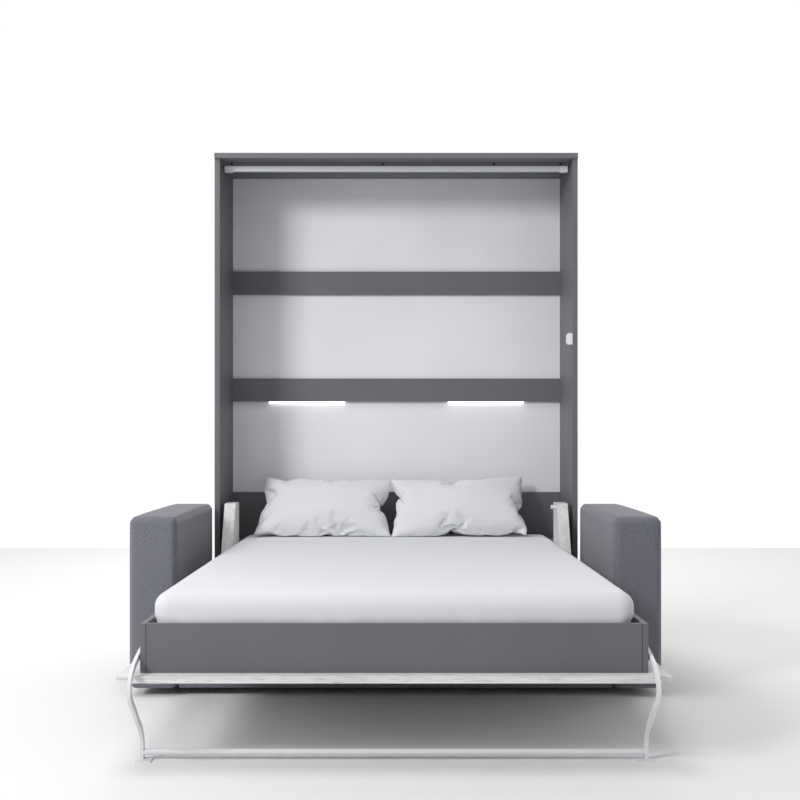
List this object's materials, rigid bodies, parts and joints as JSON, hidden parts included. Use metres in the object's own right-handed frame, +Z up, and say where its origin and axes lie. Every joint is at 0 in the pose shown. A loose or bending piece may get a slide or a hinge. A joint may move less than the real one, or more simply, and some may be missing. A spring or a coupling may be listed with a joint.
{
  "type": "murphy wall bed",
  "caption": "Vertical wall bed in a graphite cabinet, shown open, with white bedding, a folding white steel leg and grey fabric sofa arms.",
  "frame": {"origin": "the middle of the open bed's outline on the floor", "axes": "+Y towards the wall, +X to the right as seen from the foot of the bed, +Z up"},
  "size_m": [1.944, 2.243, 2.18],
  "materials": {
    "graphite_board": "matte melamine-faced board, graphite grey",
    "pale_board": "matte light grey back board",
    "white_oak": "white craft oak laminate",
    "white_steel": "white powder coat",
    "pale_aluminium": "satin anodised",
    "white_plastic": "moulded white plastic",
    "light_diffuser": "lit opal diffuser",
    "zinc_steel": "zinc plated",
    "black_rubber": "matte black",
    "black_tube": "black paint",
    "birch_slats": "lacquered birch plywood",
    "white_bedding": "smooth cotton",
    "sofa_fabric": "grey melange weave"
  },
  "bodies": {
    "cabinet": {"side_panel_left": "graphite_board", "side_panel_right": "graphite_board", "top_panel": "graphite_board", "back_panel": "pale_board", "back_rail_upper": "graphite_board", "back_rail_middle": "graphite_board", "headboard_rail": "graphite_board", "bottom_rail": "graphite_board", "top_stiffener": "graphite_board", "top_profile": "pale_aluminium", "profile_ends": "white_plastic", "led_strips": "light_diffuser", "side_catch": "white_plastic", "wall_brackets": "zinc_steel", "cabinet_glides": "black_rubber", "lower_front": "white_oak", "pivot_axles": "zinc_steel", "gas_studs": "zinc_steel", "panel_buffers": "black_rubber", "sofa_arm_left": "sofa_fabric", "sofa_arm_right": "sofa_fabric", "seat_frame": "sofa_fabric", "seat_pad": "sofa_fabric", "sofa_feet": "black_rubber", "sofa_bolts": "zinc_steel"},
    "bed": {"side_rail_left": "graphite_board", "side_rail_right": "graphite_board", "foot_board": "graphite_board", "head_board": "graphite_board", "centre_beam": "birch_slats", "slat_ledgers": "birch_slats", "slats": "birch_slats", "corner_brackets": "zinc_steel", "front_panel": "white_oak", "tail_board": "white_oak", "mattress": "white_bedding", "pillow_left": "white_bedding", "pillow_right": "white_bedding", "wing_left": "white_oak", "wing_right": "white_oak", "wing_knob": "white_plastic", "pivot_bushes": "black_rubber", "crank_plates": "zinc_steel", "leg_pins": "zinc_steel"},
    "leg": {"leg_arm_left": "white_steel", "leg_arm_right": "white_steel", "leg_crossbar": "white_steel", "leg_feet": "white_steel"},
    "gas_cylinder_left": {"gas_cylinder_left": "black_tube"},
    "gas_cylinder_right": {"gas_cylinder_right": "black_tube"},
    "gas_rod_left": {"gas_rod_left": "zinc_steel"},
    "gas_rod_right": {"gas_rod_right": "zinc_steel"}
  },
  "joints": [
    {"name": "bed_fold", "type": "hinge", "parent": "cabinet", "child": "bed", "pos_m": [0, 0.70649, 0.317], "axis": [-1, 0, 0], "range_deg": [0, 90], "deforming": ["pillow_left", "pillow_right"]},
    {"name": "leg_fold", "type": "hinge", "parent": "bed", "child": "leg", "pos_m": [0, -0.93851, 0.328], "axis": [-1, 0, 0], "range_deg": [0, 155]},
    {"name": "gas_tilt_left", "type": "hinge", "parent": "cabinet", "child": "gas_cylinder_left", "pos_m": [-0.758, 1.00149, 0.28], "axis": [-1, 0, 0], "range_deg": [0, 1.25]},
    {"name": "gas_slide_left", "type": "slide", "parent": "gas_cylinder_left", "child": "gas_rod_left", "axis": [0, -1, 0], "range_m": [0, 0.0675]},
    {"name": "gas_tilt_right", "type": "hinge", "parent": "cabinet", "child": "gas_cylinder_right", "pos_m": [0.758, 1.00149, 0.28], "axis": [-1, 0, 0], "range_deg": [0, 1.25]},
    {"name": "gas_slide_right", "type": "slide", "parent": "gas_cylinder_right", "child": "gas_rod_right", "axis": [0, -1, 0], "range_m": [0, 0.0675]}
  ],
  "couplings": [
    {"joint": "gas_tilt_left", "follows": "bed_fold", "ratio": 0.0134},
    {"joint": "gas_slide_left", "follows": "bed_fold", "m_per_rad": 0.0427},
    {"joint": "gas_tilt_right", "follows": "bed_fold", "ratio": 0.0134},
    {"joint": "gas_slide_right", "follows": "bed_fold", "m_per_rad": 0.0427}
  ]
}
